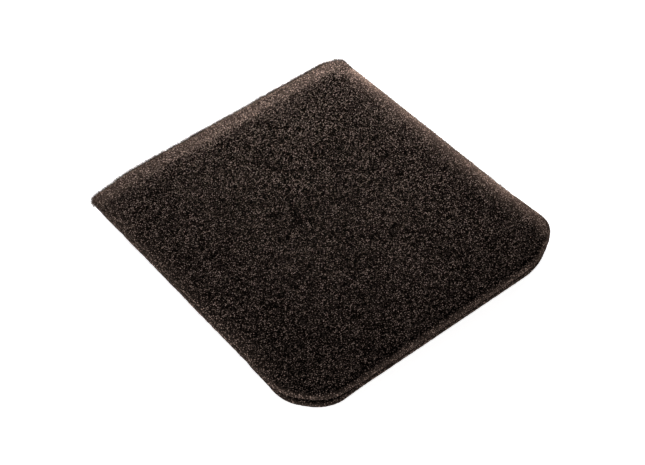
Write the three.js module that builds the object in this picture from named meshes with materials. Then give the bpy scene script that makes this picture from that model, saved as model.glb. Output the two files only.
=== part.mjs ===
// Foam air filter sleeve: a flat pocket that slides over a panel air filter as its pre-filter.
// Two panels of open-cell foam lie on each other. A melted seam joins them along both sides
// and the closed end, and pinches them thin there. The two lips of the mouth are left free.
//
// Millimetres, +Z up. The sleeve lies on z = 0 with its mouth at -Y and its closed end at +Y,
// and the origin is under the middle of its outline.

import * as THREE from "three";

// Driving dimensions.
const LENGTH = 169; // from the mouth to the closed end
const MOUTH_WIDTH = 160; // across the sides, carried on to the mouth
const END_WIDTH = 156; // across the sides, carried on to the closed end
const SHEET = 5; // thickness of one foam panel
const POCKET = 1; // slack between the panels
const SEAM_WIDTH = 1.5; // width of the melted seam, seen from above
const SEAM_HEIGHT = 2.4; // height of the melted seam

// Each corner is cut off between a bend on its side and a bend on its end, the mouth or the closed end:
// how far from the corner they are, and their radii.
const MOUTH_LEFT = { side: 16, sideRadius: 19, end: 13.5, endRadius: 20 };
const MOUTH_RIGHT = { side: 12, sideRadius: 13, end: 21.5, endRadius: 35 };
const FAR_RIGHT = { side: 3.5, sideRadius: 5, end: 10.5, endRadius: 23 };
const FAR_LEFT = { side: 3.5, sideRadius: 5, end: 23, endRadius: 27 };

// How the foam thins towards its edges.
const SHOULDER = 15; // distance from the edge to full thickness
const MOUTH_LIP = 2.4; // thickness of a panel at the free mouth
const SEAM_LIP = 1.1; // thickness of a panel where it meets the seam
const LIP_ROUNDING = 0.7; // radius on the outer edge of a panel
const MOUTH_GAP = 0.6; // between the lips along the mouth
const SEAM_GAP = 0.1; // between the panels beside the seam
const PARTED_GAP = 1.6; // extra gap where the lips part at the left corner of the mouth
const PARTED_INSET = 7; // how far in from that corner, along both axes, they are parted most
const PARTED_REACH = 20; // how far from there they stay parted

// Where the seam starts, and what it keeps clear of.
const SEAM_START = 14; // from the mouth, along either side
const SEAM_TAPER = 20; // over this length the seam grows to its full width
const SEAM_TIP = 0.5; // width at which the tapered seam ends
const CLEARANCE = 0.3; // between the seam and the panels, and between its stretches

// Mesh density.
const ARC_STEP = Math.PI / 15;
const LINE_STEP = 14;
const INNER_REACH = 26; // the rings of a panel shrink towards a core this far inside the outline
const SKIN_INSETS = [23, SHOULDER, 11, 7.5, 4.5, 2.2]; // of the rings over a panel's outer skin
const POCKET_INSETS = [LIP_ROUNDING, 4.5, 9, SHOULDER]; // of the rings over its pocket face
const SEAM_FACETS = 8; // round the melted seam

// Levels worked out from the driving dimensions.
const TOTAL_HEIGHT = 2 * SHEET + POCKET;
const SEAM_LEVEL = 0.42 * TOTAL_HEIGHT; // the edges sag a little below the middle
const POCKET_FLOOR = SHEET;
const POCKET_ROOF = SHEET + POCKET;

const PARTED_AT = new THREE.Vector2(-MOUTH_WIDTH / 2, -LENGTH / 2).addScalar(PARTED_INSET);

const foam = new THREE.MeshStandardMaterial({ color: "#2e2622", roughness: 0.95, metalness: 0 });
const meltedFoam = new THREE.MeshStandardMaterial({ color: "#40342f", roughness: 0.8, metalness: 0 });

// The two bends of a corner. right and far are 1 or -1 and say which corner it is.
function bends(right, far, cut) {
  const halfWidth = (y) => THREE.MathUtils.lerp(MOUTH_WIDTH, END_WIDTH, y / LENGTH + 0.5) / 2;
  const sideY = far * (LENGTH / 2 - cut.side);
  const endY = (far * LENGTH) / 2;
  return [
    { x: right * halfWidth(sideY), y: sideY, radius: cut.sideRadius },
    { x: right * (halfWidth(endY) - cut.end), y: endY, radius: cut.endRadius },
  ];
}

const BENDS = [
  ...bends(-1, -1, MOUTH_LEFT),
  ...bends(1, -1, MOUTH_RIGHT).reverse(),
  ...bends(1, 1, FAR_RIGHT),
  ...bends(-1, 1, FAR_LEFT).reverse(),
];

// The sleeve's outline as a closed path, an arc at each bend and a line after it.
function outlinePath() {
  const path = new THREE.Path();
  BENDS.forEach((bend, i) => {
    const before = BENDS.at(i - 1);
    const after = BENDS[(i + 1) % BENDS.length];
    const back = new THREE.Vector2(before.x - bend.x, before.y - bend.y).normalize();
    const ahead = new THREE.Vector2(after.x - bend.x, after.y - bend.y).normalize();
    const halfAngle = Math.acos(back.dot(ahead)) / 2;
    const centre = back.clone().add(ahead).normalize();
    centre.multiplyScalar(bend.radius / Math.sin(halfAngle)).add(bend);
    const start = Math.atan2(back.x, -back.y);
    const turn = Math.PI - 2 * halfAngle;
    path.absarc(centre.x, centre.y, bend.radius, start, start + turn, false);
  });
  path.closePath();
  return path;
}

// Points along one arc or line of the outline, each with its outward normal.
function stationsOn(curve) {
  const steps = curve.isLineCurve
    ? Math.ceil(curve.getLength() / LINE_STEP)
    : Math.ceil((curve.aEndAngle - curve.aStartAngle) / ARC_STEP);
  return Array.from({ length: steps }, (_, i) => {
    const point = curve.getPoint(i / steps);
    const tangent = curve.getTangent(i / steps);
    return { point, normal: new THREE.Vector2(tangent.y, -tangent.x) };
  });
}

// The outline's arcs and lines, anticlockwise from the mouth's left corner, as lists of stations.
const STRETCHES = outlinePath().curves.map(stationsOn);
const STATIONS = STRETCHES.flat();

// A station's point moved inwards, towards a core that lies INNER_REACH inside the outline's box.
function inwards(point, inset) {
  const coreX = END_WIDTH / 2 - INNER_REACH;
  const coreY = LENGTH / 2 - INNER_REACH;
  const core = new THREE.Vector2(
    THREE.MathUtils.clamp(point.x, -coreX, coreX),
    THREE.MathUtils.clamp(point.y, -coreY, coreY),
  );
  return point.clone().lerp(core, inset / INNER_REACH);
}

// 0 at the free mouth, 1 where the panels are fully joined.
function joined(point) {
  const fromMouth = point.y + LENGTH / 2;
  return THREE.MathUtils.smoothstep(fromMouth, SEAM_START, SEAM_START + SEAM_TAPER);
}

// The seam's own width at a point of the outline.
function seamWidth(point) {
  return (SEAM_WIDTH + CLEARANCE) * joined(point) - CLEARANCE;
}

// How far the panels' edge stands back from the outline to leave room for the seam.
function standBack(point) {
  return (SEAM_WIDTH + CLEARANCE) * joined(point);
}

// A share from 0 at the edge to 1 at full thickness, rising like a soft bevel.
function swell(inset) {
  const share = Math.min(inset / SHOULDER, 1);
  return Math.sin((share * Math.PI) / 2) ** 0.9;
}

// Half the gap between the panels at a distance from their edge, near a point of the outline.
function halfGap(point, inset) {
  const atEdge = THREE.MathUtils.lerp(MOUTH_GAP, SEAM_GAP, joined(point));
  const away = point.distanceTo(PARTED_AT) / PARTED_REACH;
  const parted = PARTED_GAP * Math.exp(-away * away) * (1 - swell(inset));
  return (atEdge + parted) / 2;
}

// One ring of a panel: inset from its edge, on its outer skin (share 1) or its pocket face (share 0).
// side is 1 for the upper panel and -1 for the lower one.
function panelRing(side, inset, share) {
  const middle = side > 0 ? POCKET_ROOF : POCKET_FLOOR;
  const skin = side > 0 ? TOTAL_HEIGHT : 0;
  const rise = swell(inset);
  return STATIONS.map(({ point, normal }) => {
    const lip = THREE.MathUtils.lerp(MOUTH_LIP, SEAM_LIP, joined(point));
    const inner = THREE.MathUtils.lerp(SEAM_LEVEL + side * halfGap(point, inset), middle, rise);
    const edge = SEAM_LEVEL + side * (halfGap(point, inset) + lip);
    const outer = THREE.MathUtils.lerp(edge, skin, rise);
    const edgePoint = point.clone().addScaledVector(normal, -standBack(point));
    const { x, y } = inwards(edgePoint, inset);
    return new THREE.Vector3(x, y, THREE.MathUtils.lerp(inner, outer, share));
  });
}

// A closed solid through equal rings of points, with a fan over the first ring and the last.
function loft(rings) {
  const count = rings[0].length;
  const centres = [rings[0], rings.at(-1)].map((ring) =>
    ring.reduce((sum, point) => sum.add(point), new THREE.Vector3()).divideScalar(count),
  );
  const index = [];
  const firstCentre = rings.length * count;
  const lastCentre = firstCentre + 1;
  const lastRing = (rings.length - 1) * count;
  for (let i = 0; i < count; i++) {
    const next = (i + 1) % count;
    index.push(firstCentre, i, next);
    index.push(lastCentre, lastRing + next, lastRing + i);
    for (let start = 0; start < lastRing; start += count) {
      index.push(start + i, start + count + i, start + count + next);
      index.push(start + i, start + count + next, start + next);
    }
  }
  const geometry = new THREE.BufferGeometry().setFromPoints([...rings.flat(), ...centres]);
  geometry.setIndex(index);
  return geometry;
}

// A foam panel: its outer skin from the middle to the edge, round the lip, and its pocket face back again.
function panel(name, side) {
  const rounding = [
    [LIP_ROUNDING, 1],
    [0.3 * LIP_ROUNDING, 0.88],
    [0, 0.6],
    [0, 0.25],
  ];
  const skinRings = SKIN_INSETS.map((inset) => panelRing(side, inset, 1));
  const lipRings = rounding.map(([inset, share]) => panelRing(side, inset, share));
  const pocketRings = POCKET_INSETS.map((inset) => panelRing(side, inset, 0));
  const rings = [...skinRings, ...lipRings, ...pocketRings];
  const mesh = new THREE.Mesh(loft(side > 0 ? rings : rings.reverse()), foam);
  mesh.name = name;
  return mesh;
}

// A stretch of the melted seam: a rounded bead that follows the outline through the given stations.
function seam(name, along) {
  const rings = along.map(({ point, normal }) => {
    const width = seamWidth(point);
    return Array.from({ length: SEAM_FACETS }, (_, i) => {
      const angle = ((i + 0.5) * 2 * Math.PI) / SEAM_FACETS;
      const round = 1 / Math.cos(Math.PI / SEAM_FACETS);
      const across = (width / 2) * (1 - round * Math.cos(angle));
      const up = (SEAM_HEIGHT / 2) * round * Math.sin(angle);
      return new THREE.Vector3(point.x - normal.x * across, point.y - normal.y * across, SEAM_LEVEL + up);
    });
  });
  const mesh = new THREE.Mesh(loft(rings), meltedFoam);
  mesh.name = name;
  return mesh;
}

// Leaves the clearance between this stretch of seam and the next at its last station.
function shortened(along) {
  const last = along.at(-1);
  const toLast = last.point.clone().sub(along.at(-2).point).normalize();
  const point = last.point.clone().addScaledVector(toLast, -CLEARANCE);
  return [...along.slice(0, -1), { ...last, point }];
}

// The number of the station at which a bend's arc starts, with the bends numbered as in BENDS.
function stationOf(bend) {
  return STRETCHES.slice(0, 2 * bend).flat().length;
}

// The seam's three stretches, in the outline's order: up the right side, round the end, down the left side.
function seams() {
  const mouthRight = stationOf(3); // the bend that ends the mouth's right corner
  const farRight = stationOf(4); // the bend that starts the closed end's right corner
  const farLeft = stationOf(8) - STRETCHES.at(-1).length; // just past the last bend
  const wide = (station) => seamWidth(station.point) >= SEAM_TIP;
  const right = STATIONS.slice(mouthRight, farRight + 1).filter(wide);
  const end = STATIONS.slice(farRight, farLeft + 1);
  const left = STATIONS.slice(farLeft).filter(wide);
  return [
    seam("right_side_weld", shortened(right)),
    seam("closed_end_weld", shortened(end)),
    seam("left_side_weld", left),
  ];
}

const sleeve = new THREE.Group();
sleeve.add(panel("upper_foam_panel", 1), panel("lower_foam_panel", -1), ...seams());

export default sleeve;
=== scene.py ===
"""Looks of the foam air filter sleeve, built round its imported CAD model.

Each foam panel is a dense closed mesh: a graded grid over the sleeve's outline for the skin, a rounded
lip, and the pocket face behind it, roughened by the open cells. The melted seam is a lumpy bead with
broken strut ends on its outer face.
"""

import math

import bpy
import numpy as np
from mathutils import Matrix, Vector


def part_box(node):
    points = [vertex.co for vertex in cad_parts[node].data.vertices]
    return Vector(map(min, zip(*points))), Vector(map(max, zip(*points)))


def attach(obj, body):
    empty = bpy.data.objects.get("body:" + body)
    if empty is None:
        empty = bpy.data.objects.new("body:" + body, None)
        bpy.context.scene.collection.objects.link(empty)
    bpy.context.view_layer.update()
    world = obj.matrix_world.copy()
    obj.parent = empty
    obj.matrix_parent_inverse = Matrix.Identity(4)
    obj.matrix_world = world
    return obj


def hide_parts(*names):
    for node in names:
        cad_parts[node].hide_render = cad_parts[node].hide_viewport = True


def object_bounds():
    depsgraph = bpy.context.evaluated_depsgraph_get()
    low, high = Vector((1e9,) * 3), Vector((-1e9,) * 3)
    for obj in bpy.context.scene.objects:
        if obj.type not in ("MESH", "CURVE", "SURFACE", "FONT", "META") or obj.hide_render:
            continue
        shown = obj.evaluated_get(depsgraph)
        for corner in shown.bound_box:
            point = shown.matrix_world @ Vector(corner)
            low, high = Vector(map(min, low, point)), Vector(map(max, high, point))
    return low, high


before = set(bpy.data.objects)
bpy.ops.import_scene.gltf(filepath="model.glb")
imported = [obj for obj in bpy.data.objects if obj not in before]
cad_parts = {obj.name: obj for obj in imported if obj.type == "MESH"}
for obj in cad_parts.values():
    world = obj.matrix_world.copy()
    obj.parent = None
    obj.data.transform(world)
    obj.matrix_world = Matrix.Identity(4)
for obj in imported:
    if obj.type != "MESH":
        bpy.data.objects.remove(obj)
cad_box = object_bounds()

MM = 0.001

# The sleeve's outline, as the CAD model draws it.
CAD_LOW, CAD_HIGH = cad_box
LENGTH = CAD_HIGH.y - CAD_LOW.y
HEIGHT = CAD_HIGH.z - CAD_LOW.z
MOUTH_WIDTH = 160 * MM
END_WIDTH = 156 * MM
# Each corner's two bends: their distances from the corner along its side and its end, and their radii.
MOUTH_LEFT = {"side": 16, "side_radius": 19, "end": 13.5, "end_radius": 20}
MOUTH_RIGHT = {"side": 12, "side_radius": 13, "end": 21.5, "end_radius": 35}
FAR_RIGHT = {"side": 3.5, "side_radius": 5, "end": 10.5, "end_radius": 23}
FAR_LEFT = {"side": 3.5, "side_radius": 5, "end": 23, "end_radius": 27}
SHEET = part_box("lower_foam_panel")[1].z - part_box("lower_foam_panel")[0].z
SEAM_LEVEL = sum(v.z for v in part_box("closed_end_weld")) / 2
SEAM_WIDTH = 1.5 * MM
SEAM_HEIGHT = 2.5 * MM
SEAM_FROM = {-1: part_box("left_side_weld")[0].y, 1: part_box("right_side_weld")[0].y}  # on either side
SEAM_GROWS = 9 * MM  # over this length the seam reaches its full width
START_WIDTH = 0.5 * MM  # the seam's width, height and setback where it starts
START_HEIGHT = 1.0 * MM
START_SETBACK = 0.4 * MM

# Sections of the foam at its edges.
JOIN_START = 14 * MM  # from the mouth, where the lips begin to close
JOIN_LENGTH = 20 * MM
# How far in a panel reaches its full thickness, from the mouth, right side, closed end and left side.
UPPER_SHOULDERS = (4.5 * MM, 17 * MM, 14.5 * MM, 8 * MM)
LOWER_SHOULDERS = (15 * MM, 20 * MM, 13 * MM, 15 * MM)
CROWN = 38 * MM  # from the mouth and the left side, how far in the panels' gentle crown reaches
CROWN_SHARE = 0.3  # its share of the whole rise
FRINGE = 0.6 * MM  # how far the solid foam stands back at the closed end behind its broken strut ends
FRINGE_START = 6 * MM  # from the closed end, where it begins to stand back
FRINGE_LENGTH = 5 * MM
PANEL_SETBACK = 0.8 * MM  # how far the panels' edge lies inside the seam's
MOUTH_LIPS = {1: 2.6 * MM, -1: 2.3 * MM}  # thickness of the upper panel's lip and the lower one's
SEAM_LIP = 1.2 * MM  # thickness of each panel's edge where they are joined
MOUTH_GAP = 0.45 * MM  # between the lips along the mouth
SEAM_GAP = 0.05 * MM  # between the panels' edges where they are joined
PARTED_GAP = 2.3 * MM  # extra gap where the lips part at the mouth's left corner
PARTED_INSET = Vector((12, 6)) * MM  # how far in from that corner they are parted most
PARTED_REACH = 16 * MM  # how far from there they stay parted
FLOOR_CLEARANCE = 0.02 * MM
POCKET_RAMP = 9 * MM  # over this length the pocket's face reaches its flat level
INNER_REACH = 26 * MM  # from the outline to the core that the pocket's rings shrink towards

# How compressed the foam is, with painted light added, from 0 to about 1. Keys 1 and -1 are the right and the
# left side.
# The rim is partly its compressed, lighter skin and partly a painted sheen, the brightening of an edge seen
# edge-on.
RIM_PRESSED_AND_SHEEN = {"mouth": 0.6, "closed end": 1.0, "sides": 0.45}
RIM_BAND = (0.6 * MM, 1.8 * MM)  # in from the edge, where the rim starts to fade, and over what length
CLOSED_END_RIM = 8 * MM  # how far from the closed end the rim counts as its own
# The closed end's bevel is partly compressed and partly painted light, the brightening of a slope that faces
# the light behind the sleeve.
BEVEL_PRESSED_AND_PAINTED_LIGHT = 0.5
BEVEL_BAND = (9 * MM, 8 * MM)  # in from the closed end, where the bevel starts to fade, and over what length
# The slopes by the seam are painted light: strong on the right side, which faces the lamps, and weaker on the
# left, where it lifts the slope's shade.
SLOPE_PAINTED_LIGHT = {1: 0.9, -1: 0.4}
SLOPE_FADES = 1 * MM  # in from the edge, where the slope starts to fade
SLOPE_REACH = {1: 17 * MM, -1: 10 * MM}  # and over what length
SLOPE_AT_CORNER = 1.1  # on the mouth's right corner, as a share of the slopes' painted light
SLOPE_AT_SEAM = 0.9  # and where the panels are joined
RIGHT_CORNER = (66 * MM, 8 * MM)  # the x from which that corner counts, and over what length
LOWER_SLOPE = 0.3  # the lower panel's share
PATCH_SIZE = 16 * MM
PATCH_DEPTH = 0.35  # how much the bevel's compression and painted light change from patch to patch
SLOPE_PATCHES = 0.6  # the slope's share of that change

# Layers of noise that roughen a surface, each as its height and its size in mm.
CELL_LUMPS = [(0.03, 1.2), (0.05, 3.0)]
CELL_SCATTER = 0.05 * MM  # the height of each point's own random offset
WAVES = [(0.35, 38), (0.15, 14)]
SEAM_LUMPS = [(0.10, 0.9), (0.12, 2.5), (0.10, 9)]
WAVES_FROM_EDGE = 12 * MM  # over this distance from the edge the waves reach their height
POCKET_ROUGHNESS = 0.2  # the pocket's share of the skin's roughness
END_ROUGHNESS = 1.2  # how much rougher the closed end is
END_ROUGHNESS_REACH = 6 * MM


def lerp(a, b, t):
    return a + (b - a) * t


def smooth(t):
    t = np.clip(t, 0, 1)
    return t * t * (3 - 2 * t)


def fade(distance, start, length):
    """1 up to the start, and 0 from the given length beyond it."""
    return 1 - smooth((distance - start) / length)


# ---------------------------------------------------------------- outline


def bends(right, far, cut):
    """The two bends of a corner as (x, y, radius). right and far are 1 or -1 and say which corner it is."""
    side_y = far * (LENGTH / 2 - cut["side"] * MM)
    end_y = far * LENGTH / 2
    side_x, corner_x = (right * lerp(MOUTH_WIDTH, END_WIDTH, y / LENGTH + 0.5) / 2 for y in (side_y, end_y))
    end_x = corner_x - right * cut["end"] * MM
    return [(side_x, side_y, cut["side_radius"] * MM), (end_x, end_y, cut["end_radius"] * MM)]


BENDS = [
    *bends(-1, -1, MOUTH_LEFT),
    *bends(1, -1, MOUTH_RIGHT)[::-1],
    *bends(1, 1, FAR_RIGHT),
    *bends(-1, 1, FAR_LEFT)[::-1],
]


def outline_path(step=0.1 * MM):
    """Dense points round the outline with their normals, and how far along it they are."""
    arcs = []
    for i, (x, y, radius) in enumerate(BENDS):
        bend = np.array((x, y))
        back = np.array(BENDS[i - 1][:2]) - bend
        ahead = np.array(BENDS[(i + 1) % len(BENDS)][:2]) - bend
        back /= np.linalg.norm(back)
        ahead /= np.linalg.norm(ahead)
        half = math.acos(back @ ahead) / 2
        bisector = (back + ahead) / np.linalg.norm(back + ahead)
        centre = bend + bisector * radius / math.sin(half)
        turn = math.pi - 2 * half
        angles = math.atan2(back[0], -back[1]) + turn * np.linspace(0, 1, math.ceil(radius * turn / step))
        direction = np.stack((np.cos(angles), np.sin(angles)), 1)
        arcs.append((centre + radius * direction, direction))
    points, normals = [], []
    for i, (arc, direction) in enumerate(arcs):
        after = arcs[(i + 1) % len(arcs)][0][0]
        steps = math.ceil(np.linalg.norm(after - arc[-1]) / step)
        t = np.linspace(0, 1, steps + 1)[1:-1, None]
        points += [arc, lerp(arc[-1], after, t)]
        normals += [direction, np.repeat(direction[-1:], steps - 1, 0)]
    points, normals = np.concatenate(points), np.concatenate(normals)
    along = np.concatenate(([0], np.cumsum(np.linalg.norm(np.diff(points, axis=0), axis=1))))
    return points, normals, along


PATH, PATH_NORMALS, PATH_ALONG = outline_path()
PERIMETER = PATH_ALONG[-1] + np.linalg.norm(PATH[0] - PATH[-1])
# Where the outline faces the four diagonals, anticlockwise from the mouth's left corner.
DIAGONALS = np.array(((-1, -1), (1, -1), (1, 1), (-1, 1)))
CORNER_MIDDLES = [PATH_ALONG[np.argmax(PATH_NORMALS @ diagonal)] for diagonal in DIAGONALS]


def on_outline(along):
    """Points and normals at the given lengths along the outline."""
    s = np.mod(along, PERIMETER)
    knots = np.append(PATH_ALONG, PERIMETER)
    closed = np.vstack((PATH, PATH[:1]))
    closed_normals = np.vstack((PATH_NORMALS, PATH_NORMALS[:1]))
    point = np.stack([np.interp(s, knots, closed[:, k]) for k in (0, 1)], 1)
    normal = np.stack([np.interp(s, knots, closed_normals[:, k]) for k in (0, 1)], 1)
    return point, normal / np.linalg.norm(normal, axis=1)[:, None]


def joined(y):
    """0 at the free mouth, 1 where the panels are fully joined."""
    return smooth((y + LENGTH / 2 - JOIN_START) / JOIN_LENGTH)


def seamed(x, y):
    """0 where the seam hasn't started, 1 where it has its full width."""
    start = np.where(x < 0, SEAM_FROM[-1], SEAM_FROM[1])
    return smooth((y - start) / SEAM_GROWS)


# ---------------------------------------------------------------- noise


def lattice_noise(points, cell, seed):
    """Smooth noise from -1 to 1 over a lattice of random values with the given cell size."""
    low = points.min(0) - cell
    grid = (points - low) / cell
    base = np.floor(grid).astype(int)
    part = smooth(grid - base)
    size = base.max(0) + 2
    values = np.random.default_rng(seed).uniform(-1, 1, size)
    total = np.zeros(len(points))
    for dx in (0, 1):
        for dy in (0, 1):
            for dz in (0, 1):
                weight = np.ones(len(points))
                for k, d in enumerate((dx, dy, dz)):
                    weight *= part[:, k] if d else 1 - part[:, k]
                total += weight * values[base[:, 0] + dx, base[:, 1] + dy, base[:, 2] + dz]
    return total


def lumps(points, layers, seed):
    """The sum of several layers of noise, each given as its height and its size in mm."""
    noise = (height * lattice_noise(points, size * MM, seed + i) for i, (height, size) in enumerate(layers))
    return sum(noise) * MM


# ---------------------------------------------------------------- panel surface


def swell(distances, side):
    """0 at the panel's edge and 1 at full thickness, the product of a rise from each of the four sides."""
    reach = UPPER_SHOULDERS if side > 0 else LOWER_SHOULDERS
    mouth, right, end, left = (distance / shoulder for distance, shoulder in zip(distances, reach))
    mouth = lerp(ellipse_rise(mouth), smooth(distances[0] / CROWN), CROWN_SHARE)
    left = lerp(ellipse_rise(left), smooth(distances[3] / CROWN), CROWN_SHARE)
    return mouth * ellipse_rise(right) * left * bevel_rise(end)


def ellipse_rise(t):
    t = np.clip(t, 0, 1)
    return np.sqrt(1 - (1 - t) ** 2)


def bevel_rise(t):
    """A straight slope with a soft knee at its top."""
    knee = 0.32
    t = np.clip(t, 0, 1 + knee)
    bend = np.clip((t - (1 - knee)) / (2 * knee), 0, 1)
    return np.where(t < 1 - knee, t, np.minimum(1 - knee + knee * (2 * bend - bend**2), 1))


def gap(x, y):
    """The gap between the panels at their edge."""
    from_left = x + MOUTH_WIDTH / 2
    from_mouth = y + LENGTH / 2
    away = np.hypot(from_left - PARTED_INSET.x, from_mouth - PARTED_INSET.y) / PARTED_REACH
    return lerp(MOUTH_GAP, SEAM_GAP, joined(y)) + PARTED_GAP * np.exp(-(away**4))


def fringe(y):
    """How far the solid foam stands back here."""
    return FRINGE * smooth((y - (LENGTH / 2 - FRINGE_START)) / FRINGE_LENGTH)


def lip(y, side):
    """The thickness of a panel at its edge."""
    return lerp(MOUTH_LIPS[side], SEAM_LIP, joined(y))


def distance_to(points, line):
    """Distance from each point to a line of points, worked out for a few thousand points at a time."""
    start, end = line[:-1], line[1:]
    span = end - start
    length = (span**2).sum(1)
    best = np.empty(len(points))
    for chunk in np.array_split(np.arange(len(points)), max(1, len(points) // 4000)):
        offset = points[chunk, None, :] - start[None]
        t = np.clip((offset * span).sum(2) / length, 0, 1)
        nearest = offset - t[..., None] * span
        best[chunk] = np.sqrt((nearest**2).sum(2).min(1))
    return best


# ---------------------------------------------------------------- mesh helpers


def smooth_mesh(name, vertices, faces):
    mesh = bpy.data.meshes.new(name)
    mesh.from_pydata([tuple(v) for v in vertices], [], faces)
    mesh.update()
    mesh.polygons.foreach_set("use_smooth", np.ones(len(mesh.polygons), bool))
    return mesh


def linked_object(name, data):
    obj = bpy.data.objects.new(name, data)
    bpy.context.scene.collection.objects.link(obj)
    return obj


def vertex_array(mesh, field="co"):
    values = np.empty(len(mesh.vertices) * 3, np.float32)
    if field == "co":
        mesh.vertices.foreach_get("co", values)
    else:
        mesh.vertex_normals.foreach_get("vector", values)
    return values.reshape(-1, 3).astype(float)


def move_vertices(mesh, points):
    mesh.vertices.foreach_set("co", points.astype(np.float32).ravel())
    mesh.update()


def set_attribute(mesh, name, values):
    layer = mesh.attributes.new(name, "FLOAT", "POINT")
    layer.data.foreach_set("value", values.astype(np.float32))


# ---------------------------------------------------------------- foam panels

COLUMNS = 270
ROWS = 286
GRADING = 0.35  # how much closer the grid's lines are at the edges
OUTLINE_STRIDE = 4  # every fourth point of the grid's edge is enough to measure distances from
# Rings from the grid's edge round the lip's underside, as inset and height in half lips.
LIP_STATIONS = [(0.12, 0.52), (0.5, 0.134), (1.0, 0.0)]
# Rings of the pocket's face, as inset. The last two each have half as many points as the ring before.
POCKET_INSETS = [1.9 * MM, 2.7 * MM, 3.8 * MM, 5.5 * MM, 9.0 * MM]
HALVED_RINGS = [len(LIP_STATIONS) + len(POCKET_INSETS) - 2, len(LIP_STATIONS) + len(POCKET_INSETS) - 1]


def graded(count):
    """Steps from 0 to 1 that are closest together at both ends."""
    s = np.linspace(0, 1, count + 1)
    return s - GRADING * np.sin(2 * math.pi * s) / (2 * math.pi)


def panel_grid():
    """The skin's grid of points, its four sides, and its edge all the way round."""
    u, v = graded(COLUMNS), graded(ROWS)
    sides = []
    for i, t in enumerate((u, v, u, v)):
        start = CORNER_MIDDLES[i]
        stop = CORNER_MIDDLES[(i + 1) % 4] + (PERIMETER if i == 3 else 0)
        point, normal = on_outline(lerp(start, stop, t))
        back = PANEL_SETBACK * seamed(*point.T) + fringe(point[:, 1])
        sides.append(point - normal * back[:, None])
    mouth, right = sides[0], sides[1]
    end, left = sides[2][::-1], sides[3][::-1]
    uu, vv = u[None, :, None], v[:, None, None]
    blend = (1 - vv) * mouth[None] + vv * end[None] + (1 - uu) * left[:, None] + uu * right[:, None]
    bilinear = (
        (1 - uu) * (1 - vv) * mouth[0]
        + uu * (1 - vv) * mouth[-1]
        + uu * vv * end[-1]
        + (1 - uu) * vv * end[0]
    )
    edge = np.concatenate([side[:-1] for side in sides])
    return (blend - bilinear).reshape(-1, 2), sides, edge


GRID_POINTS, SIDES, EDGE = panel_grid()
GRID_DISTANCES = [distance_to(GRID_POINTS, side) for side in SIDES]


def inwards(points, inset):
    """Points moved inwards, towards a core that lies well inside the outline."""
    limit = np.array((END_WIDTH, LENGTH)) / 2 - INNER_REACH
    return lerp(points, np.clip(points, -limit, limit), (inset / INNER_REACH)[:, None])


def ring_of_grid():
    """Indices of the grid's border points, in the same order as EDGE."""
    row = COLUMNS + 1
    bottom = np.arange(0, COLUMNS)
    right = np.arange(0, ROWS) * row + COLUMNS
    top = ROWS * row + np.arange(COLUMNS, 0, -1)
    left = np.arange(ROWS, 0, -1) * row
    return np.concatenate((bottom, right, top, left))


def foam_panel(name, side, seed):
    """One panel as a closed mesh. side is 1 for the upper panel and -1 for the lower one."""
    x, y = GRID_POINTS.T
    nearest = np.minimum.reduce(GRID_DISTANCES)
    rise = swell(GRID_DISTANCES, side)
    rim = SEAM_LEVEL + side * (gap(x, y) / 2 + lip(y, side))
    skin = HEIGHT if side > 0 else 0.0
    rounding = lerp(0.5 * MOUTH_LIPS[side], 0.25 * SEAM_LIP, joined(y))
    t = np.clip(1 - nearest / rounding, 0, 1)
    z = lerp(rim, skin, rise) - side * rounding * (1 - np.sqrt(1 - t**2))
    vertices = [np.column_stack((x, y, z))]

    inner = SEAM_LEVEL + side * gap(*EDGE.T) / 2
    half_lip = 0.5 * lip(EDGE[:, 1], side)
    flat = np.full(len(EDGE), SHEET if side < 0 else HEIGHT - SHEET)
    rings = [(half_lip * inset, inner + side * half_lip * up) for inset, up in LIP_STATIONS]
    for inset in POCKET_INSETS[:-1]:
        share = smooth((inset - half_lip) / POCKET_RAMP)
        rings.append((np.full(len(EDGE), inset), lerp(inner, flat, share)))
    rings.append((np.full(len(EDGE), POCKET_INSETS[-1]), flat))

    row = COLUMNS + 1
    j, i = np.meshgrid(np.arange(ROWS), np.arange(COLUMNS), indexing="ij")
    a = (j * row + i).ravel()
    quads = np.column_stack((a, a + 1, a + 1 + row, a + row))
    faces = [tuple(int(k) for k in q) for q in quads]
    outer = ring_of_grid()
    total = len(GRID_POINTS)
    for k, (inset, height) in enumerate(rings):
        point = inwards(EDGE, inset)
        keep = np.arange(0, len(EDGE), 2 ** sum(h <= k for h in HALVED_RINGS))
        ring = total + np.arange(len(keep))
        vertices.append(np.column_stack((point[keep], height[keep])))
        total += len(keep)
        faces.extend(strip(outer, ring))
        outer = ring
    faces.append(tuple(int(k) for k in outer[::-1]))
    vertices = np.concatenate(vertices)
    if side < 0:
        faces = [f[::-1] for f in faces]
    mesh = smooth_mesh(name, vertices, faces)
    roughen(mesh, side, seed)
    return linked_object(name, mesh)


def strip(outer, inner):
    """Faces between two closed rings, the inner with as many points or half as many."""
    n = len(inner)
    made = []
    if len(outer) == n:
        for i in range(n):
            k = (i + 1) % n
            made.append((int(outer[k]), int(outer[i]), int(inner[i]), int(inner[k])))
        return made
    for i in range(n):
        k = (i + 1) % n
        a, b, c = outer[2 * i], outer[2 * i + 1], outer[(2 * i + 2) % len(outer)]
        made.append((int(b), int(a), int(inner[i])))
        made.append((int(c), int(b), int(inner[i]), int(inner[k])))
    return made


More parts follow.
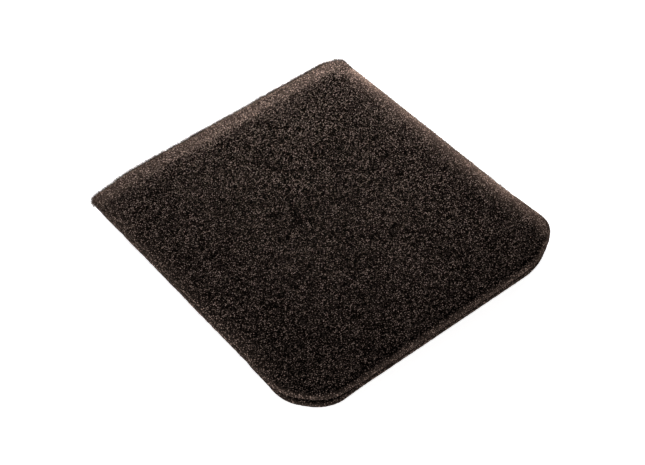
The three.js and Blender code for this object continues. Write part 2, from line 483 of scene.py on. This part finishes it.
def roughen(mesh, side, seed):
    """Presses soft undulations and the open cells into a panel, and marks how compressed its foam is, with
    painted light added on its rim, bevel and slopes.
    """
    points = vertex_array(mesh)
    normals = vertex_array(mesh, "normal")
    edge = np.vstack((EDGE[::OUTLINE_STRIDE], EDGE[:1]))
    edge_distance = distance_to(points[:, :2], edge)
    from_end = LENGTH / 2 - points[:, 1]
    scatter = CELL_SCATTER * np.random.default_rng(seed).normal(size=len(points)).clip(-2, 2)
    cells = scatter + lumps(points, CELL_LUMPS, seed + 1)
    rougher = 1 + END_ROUGHNESS * np.exp(-from_end / END_ROUGHNESS_REACH)
    in_pocket = (np.abs(points[:, 2] - SEAM_LEVEL) < 1.2 * MM) & (edge_distance > 2 * MM)
    if side > 0:
        waves = lumps(points, WAVES, seed + 3) * smooth(edge_distance / WAVES_FROM_EDGE)
    points += normals * (cells * np.where(in_pocket, POCKET_ROUGHNESS, 1.0) * rougher)[:, None]
    if side > 0:
        points[:, 2] += waves
    else:
        points[:, 2] = np.maximum(points[:, 2], FLOOR_CLEARANCE)
    move_vertices(mesh, points)
    set_attribute(mesh, "pressed_and_painted_light", compression_and_painted_light(points, edge_distance, from_end, side, seed))


def compression_and_painted_light(points, edge_distance, from_end, side, seed):
    """How compressed the foam is, with painted light added: a painted sheen at the rim, painted backlight
    over the closed end's bevel, and painted light down the slopes by the seam.
    """
    x, y = points[:, 0], points[:, 1]
    on_right = x > 0
    by_seam = np.where(from_end < CLOSED_END_RIM, RIM_PRESSED_AND_SHEEN["closed end"], RIM_PRESSED_AND_SHEEN["sides"])
    rim = fade(edge_distance, *RIM_BAND) * lerp(RIM_PRESSED_AND_SHEEN["mouth"], by_seam, joined(y))
    bevel = fade(from_end, *BEVEL_BAND)
    slope = fade(edge_distance, SLOPE_FADES, np.where(on_right, SLOPE_REACH[1], SLOPE_REACH[-1]))
    right_corner = 1 - fade(x, *RIGHT_CORNER)
    slope *= np.maximum(SLOPE_AT_SEAM * joined(y), SLOPE_AT_CORNER * right_corner)
    slope *= np.where(on_right, SLOPE_PAINTED_LIGHT[1], SLOPE_PAINTED_LIGHT[-1]) * (1 - bevel)
    if side < 0:
        slope *= LOWER_SLOPE
    patches = PATCH_DEPTH * lattice_noise(points, PATCH_SIZE, seed + 5)
    bevel *= BEVEL_PRESSED_AND_PAINTED_LIGHT * (1 + patches)
    slope *= 1 + SLOPE_PATCHES * patches
    return np.maximum.reduce((rim, bevel, slope))


# ---------------------------------------------------------------- melted seam

BEAD_STEP = 0.45 * MM  # between the bead's rings
BEAD_SIDES = 14
BEAD_ENDS = 4  # the number of rings over which each of its ends is rounded
STRUT_THICKNESS = 0.13 * MM
STRUT_ROOT = 0.2 * MM  # how deep a strut end starts inside the bead
STRUT_SCATTER = 0.12 * MM
STRUT_SPLAY = 0.45  # how far their directions stray from the bead's normal
STRUT_SHORTNESS = 1.3  # a higher power makes more of them short
STRUT_CLEARANCE = 0.1 * MM  # above the floor


def weld(node, seed):
    """A lumpy bead along the stretch of the outline that the CAD node covers."""
    low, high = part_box(node)
    along = np.arange(0, PERIMETER, BEAD_STEP)
    point, normal = on_outline(along)
    slack = 0.6 * MM  # the bead may start and stop this far outside the node's box
    inside = (
        (point[:, 0] > low.x - slack)
        & (point[:, 0] < high.x + slack)
        & (point[:, 1] > low.y - slack)
        & (point[:, 1] < high.y + slack)
    )
    first = np.flatnonzero(inside & ~np.roll(inside, 1))[0]
    order = (first + np.arange(inside.sum())) % len(along)
    point, normal = point[order], normal[order]
    grown = seamed(*point.T)
    inset = (1 - grown) * START_SETBACK + fringe(point[:, 1])
    point = point - normal * inset[:, None]
    half_width = lerp(START_WIDTH, SEAM_WIDTH, grown) / 2
    half_height = lerp(START_HEIGHT, SEAM_HEIGHT, grown) / 2
    angles = 2 * math.pi * np.arange(BEAD_SIDES) / BEAD_SIDES
    from_ends = np.minimum(np.arange(len(point)), np.arange(len(point))[::-1])
    taper = ellipse_rise(from_ends / BEAD_ENDS).clip(0.25, 1)
    across = half_width[:, None] * (1 - taper[:, None] * np.cos(angles)[None])
    up = half_height[:, None] * taper[:, None] * np.sin(angles)[None]
    flat = point[:, None, :] - normal[:, None, :] * across[..., None]
    vertices = np.dstack((flat, SEAM_LEVEL + up)).reshape(-1, 3)
    faces = []
    for ring in range(0, (len(point) - 1) * BEAD_SIDES, BEAD_SIDES):
        for i in range(BEAD_SIDES):
            a, b = ring + i, ring + (i + 1) % BEAD_SIDES
            faces.append((b, a, a + BEAD_SIDES, b + BEAD_SIDES))
    faces.append(tuple(range(BEAD_SIDES)))
    faces.append(tuple(range((len(point) - 1) * BEAD_SIDES, len(point) * BEAD_SIDES))[::-1])
    mesh = smooth_mesh("bead", vertices, faces)
    points = vertex_array(mesh)
    move_vertices(mesh, points + vertex_array(mesh, "normal") * lumps(points, SEAM_LUMPS, seed)[:, None])
    return mesh


def frayed(name, bead, count, length, pressed_and_painted_light, lit, seed):
    """A bead with broken strut ends: thin closed spikes that stand out of its outer face."""
    local = np.random.default_rng(seed)
    points, normals = vertex_array(bead), vertex_array(bead, "normal")
    facing = np.flatnonzero(np.hypot(*normals[:, :2].T) > 0.3)
    facing = facing[(points[facing, :2] * normals[facing, :2]).sum(1) > 0]
    chosen = local.choice(facing, count)
    base = points[chosen] + local.normal(size=(count, 3)) * STRUT_SCATTER
    direction = normals[chosen] + local.normal(size=(count, 3)) * STRUT_SPLAY
    direction /= np.linalg.norm(direction, axis=1)[:, None]
    reach = length * local.uniform(0.25, 1.0, count) ** STRUT_SHORTNESS
    sideways = np.cross(direction, (0.3, 0.2, 1.0))
    sideways /= np.linalg.norm(sideways, axis=1)[:, None]
    other = np.cross(direction, sideways)
    root = base - direction * STRUT_ROOT
    tip = base + direction * reach[:, None]
    tip[:, 2] = np.maximum(tip[:, 2], STRUT_CLEARANCE)
    spikes = []
    for k in range(3):
        angle = 2 * math.pi * k / 3
        spikes.append(root + STRUT_THICKNESS / 2 * (sideways * math.cos(angle) + other * math.sin(angle)))
    spikes.append(tip)
    vertices = np.stack(spikes, 1).reshape(-1, 3)
    first = len(points)
    faces = []
    for k in range(count):
        a, b, c, d = (first + 4 * k + i for i in range(4))
        faces += [(a, c, b), (a, b, d), (b, c, d), (c, a, d)]
    faces += [tuple(face.vertices) for face in bead.polygons]
    mesh = smooth_mesh(name, np.concatenate((points, vertices)), faces)
    # The strut ends' value is a painted glow, for the light that shines through them from behind.
    set_attribute(mesh, "pressed_and_painted_light", np.concatenate((np.full(len(points), pressed_and_painted_light), np.full(4 * count, lit))))
    return linked_object(name, mesh)


# ---------------------------------------------------------------- materials


class Nodes:
    """A short way to build a material's node tree."""

    def __init__(self, name):
        self.material = bpy.data.materials.new(name)
        self.material.use_nodes = True
        self.tree = self.material.node_tree
        self.tree.nodes.clear()

    def add(self, kind, values=None, **settings):
        node = self.tree.nodes.new("ShaderNode" + kind)
        for key, value in settings.items():
            setattr(node, key, value)
        for key, value in (values or {}).items():
            self.give(node.inputs[key], value)
        return node

    def give(self, socket, value):
        if isinstance(value, bpy.types.NodeSocket):
            self.tree.links.new(value, socket)
        else:
            socket.default_value = value

    def maths(self, operation, a, b=0.0, clamp=False):
        return self.add("Math", {0: a, 1: b}, operation=operation, use_clamp=clamp).outputs[0]

    def ramp(self, value, low, high, to_low, to_high):
        values = {"Value": value, "From Min": low, "From Max": high, "To Min": to_low, "To Max": to_high}
        return self.add("MapRange", values, interpolation_type="SMOOTHSTEP").outputs["Result"]

    def mix(self, share, a, b):
        node = self.add("Mix", data_type="RGBA")
        self.give(node.inputs[0], share)
        self.give(node.inputs[6], a)
        self.give(node.inputs[7], b)
        return node.outputs[2]


def foam_material(name, look):
    """Open-cell foam with its light and shade painted into the colour: pores painted near black for the shade
    in their depths, and in each cell a knot of struts painted lighter for the light it catches, a painted
    glint.
    """
    n = Nodes(name)
    place = n.add("TexCoord").outputs["Object"]
    millimetres = n.add("VectorMath", {0: place, 3: 1 / MM}, operation="SCALE").outputs[0]
    wobble = n.add("TexNoise", {"Vector": millimetres, "Scale": 0.4, "Detail": 0.0}).outputs["Color"]
    wobble = n.add("VectorMath", {0: wobble, 3: look["wobble"]}, operation="SCALE").outputs[0]
    warped = n.add("VectorMath", {0: millimetres, 1: wobble}, operation="ADD").outputs[0]
    density = 1 / look["cell"]
    edges = n.add("TexVoronoi", {"Vector": warped, "Scale": density}, feature="DISTANCE_TO_EDGE")
    cells = n.add("TexVoronoi", {"Vector": warped, "Scale": density}, feature="F1")
    struts = n.ramp(edges.outputs["Distance"], 0.02, 0.24, 1.0, 0.0)
    each = n.add("SeparateColor", {"Color": cells.outputs["Color"]})
    fine = n.add("TexNoise", {"Vector": millimetres, "Scale": 1.9, "Detail": 2.0}).outputs["Fac"]
    patch = n.add("TexNoise", {"Vector": millimetres, "Scale": 0.06, "Detail": 3.0}).outputs["Fac"]
    # This attribute is the foam's compression with painted light added: sheen on the rims, backlight on the
    # bevel, light on the slopes and the glow of the strut ends.
    pressed_and_painted_light = n.add("Attribute", attribute_name="pressed_and_painted_light").outputs["Fac"]
    # Painted highlights: each cell's knot of struts is coloured by how much light it catches.
    knots = n.ramp(cells.outputs["Distance"], *look["knot"], 0.95, 0.0)
    caught = n.maths("ADD", n.maths("POWER", each.outputs[0], look["catch"]), look["least"])
    lit = n.maths("MULTIPLY", knots, caught)
    lit = n.maths("MULTIPLY", lit, n.ramp(patch, 0.3, 0.7, 1 - look["patches"], 1 + look["patches"]))
    lit = n.maths("MULTIPLY", lit, n.maths("ADD", n.maths("MULTIPLY", pressed_and_painted_light, look["gain"]), 1.0))
    lit = n.maths("ADD", lit, n.maths("MULTIPLY", n.maths("POWER", pressed_and_painted_light, 2.0), look["film"]), clamp=True)
    colour = n.mix(pressed_and_painted_light, look["strut"], look["rim"])
    colour = n.mix(lit, look["pore"], colour)
    height = n.maths("ADD", n.maths("MULTIPLY", struts, 0.5), n.maths("MULTIPLY", fine, 0.8))
    height = n.maths("ADD", height, n.maths("MULTIPLY", each.outputs[1], 0.5))
    bump = n.add("Bump", {"Strength": 1.0, "Distance": look["relief"], "Height": height})
    shine = n.ramp(lit, 0.0, 0.8, 0.85, look["roughness"])
    shader = n.add("BsdfPrincipled", {"Base Color": colour, "Roughness": shine, "Normal": bump.outputs[0]})
    shader.inputs["Specular IOR Level"].default_value = look["specular"]
    n.tree.links.new(shader.outputs[0], n.add("OutputMaterial").inputs[0])
    return n.material


OPEN_FOAM = {
    "cell": 0.62,  # the size of a cell in mm
    "wobble": 0.45,  # how far the cells are bent out of line, in mm
    "knot": (0.1, 0.54),  # where a knot starts and stops fading, in cells from its middle
    "catch": 2.7,  # a higher power leaves fewer knots brightly lit
    "least": 0.1,  # the light that the dimmest knot catches
    "patches": 0.14,  # how much the brightness drifts over the sleeve
    "gain": 0.6,  # how much brighter the knots of pressed and painted-lit foam are
    "film": 0.12,  # the even painted light of fully pressed foam, a painted sheen and glow
    # The pores' near-black is painted shade in the depths of the cells, and the struts' light colour is that
    # of a knot catching the light, a painted highlight.
    "pore": (0.0012, 0.0008, 0.0006, 1),
    "strut": (0.66, 0.489, 0.415, 1),
    "rim": (0.68, 0.472, 0.38, 1),
    "relief": 0.3 * MM,  # of the bump
    "roughness": 0.5,
    "specular": 0.0,
}
MELTED_FOAM = OPEN_FOAM | {"film": 0.14, "relief": 0.2 * MM, "specular": 0.02}


def floor_material():
    n = Nodes("pale_floor")
    shader = n.add("BsdfPrincipled", {"Base Color": (0.9, 0.9, 0.9, 1), "Roughness": 0.9})
    shader.inputs["Specular IOR Level"].default_value = 0.0
    shader.inputs["Emission Color"].default_value = (1, 1, 1, 1)
    shader.inputs["Emission Strength"].default_value = 0.9
    n.tree.links.new(shader.outputs[0], n.add("OutputMaterial").inputs[0])
    return n.material


# ---------------------------------------------------------------- stage, light and camera


def aimed(azimuth, elevation, distance, target):
    """A place seen from the target at that azimuth (0 is -Y) and elevation, and the turn to face back."""
    a, e = math.radians(azimuth), math.radians(elevation)
    back = Vector((math.sin(a) * math.cos(e), -math.cos(a) * math.cos(e), math.sin(e)))
    return target + back * distance, (-back).to_track_quat("-Z", "Y")


def area_light(name, azimuth, elevation, distance, size, power):
    """A softbox that faces the middle of the sleeve. Sizes are in metres and the power in watts."""
    light = bpy.data.lights.new(name, "AREA")
    light.shape = "RECTANGLE"
    light.size, light.size_y = size
    light.energy = power
    obj = linked_object(name, light)
    obj.rotation_mode = "QUATERNION"
    obj.location, obj.rotation_quaternion = aimed(azimuth, elevation, distance, Vector((0, 0, 0)))
    obj.visible_camera = False


def add_floor():
    half = 4.0
    corners = [(-half, -half, 0), (half, -half, 0), (half, half, 0), (-half, half, 0)]
    floor = linked_object("floor", smooth_mesh("floor", corners, [(0, 1, 2, 3)]))
    floor.data.materials.append(floor_material())


def add_camera():
    camera = bpy.data.cameras.new("camera")
    camera.lens = 93.75
    camera.sensor_width = 36.0
    camera.clip_start, camera.clip_end = 0.05, 20
    obj = linked_object("camera", camera)
    obj.rotation_mode = "QUATERNION"
    target = Vector((-2.8 * MM, -2.3 * MM, 0))
    obj.location, obj.rotation_quaternion = aimed(-39.48, 48.16, 793.1 * MM, target)
    bpy.context.scene.camera = obj


def add_world(zenith, horizon):
    """A pale studio that is brightest near the horizon."""
    world = bpy.data.worlds.new("studio")
    world.use_nodes = True
    nodes, links = world.node_tree.nodes, world.node_tree.links
    direction = nodes.new("ShaderNodeTexCoord")
    split = nodes.new("ShaderNodeSeparateXYZ")
    height = nodes.new("ShaderNodeMapRange")
    height.interpolation_type = "SMOOTHSTEP"
    for key, value in {"From Min": 0.0, "From Max": 0.35, "To Min": horizon, "To Max": zenith}.items():
        height.inputs[key].default_value = value
    links.new(direction.outputs["Generated"], split.inputs[0])
    links.new(split.outputs["Z"], height.inputs["Value"])
    links.new(height.outputs["Result"], nodes["Background"].inputs["Strength"])
    nodes["Background"].inputs["Color"].default_value = (1, 1, 1, 1)
    bpy.context.scene.world = world


add_camera()
add_floor()
add_world(zenith=0.09, horizon=0.95)
area_light("back_softbox", 150, 15, 0.335, (0.4, 0.12), 3.0)
area_light("right_softbox", 112, 9, 0.42, (0.3, 0.1), 1.2)
area_light("left_fill", -95, 9, 0.7, (0.5, 0.2), 2.0)
bpy.context.scene.view_settings.view_transform = "Standard"

foam = foam_material("open_cell_foam", OPEN_FOAM)
melted = foam_material("melted_foam", MELTED_FOAM)

for name, side, seed in (("upper_foam", 1, 11), ("lower_foam", -1, 23)):
    piece = foam_panel(name, side, seed)
    piece.data.materials.append(foam)
    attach(piece, "root")
    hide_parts(name + "_panel")
# Each seam's seed, number of broken strut ends and their greatest length, how pressed the bead looks with
# painted light added, and the strut ends' painted glow, for light shining through them from behind.
for node, seed, strut_ends, length, pressed_and_painted_light, lit in (
    ("left_side_weld", 31, 900, 0.5 * MM, 0.6, 0.8),
    ("right_side_weld", 41, 5000, 1.2 * MM, 0.9, 1.1),
    ("closed_end_weld", 51, 12000, 2.8 * MM, 0.9, 1.1),
):
    name = node.replace("weld", "melted_seam")
    piece = frayed(name, weld(node, seed), strut_ends, length, pressed_and_painted_light, lit, seed + 3)
    piece.data.materials.append(melted)
    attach(piece, "root")
    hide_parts(node)
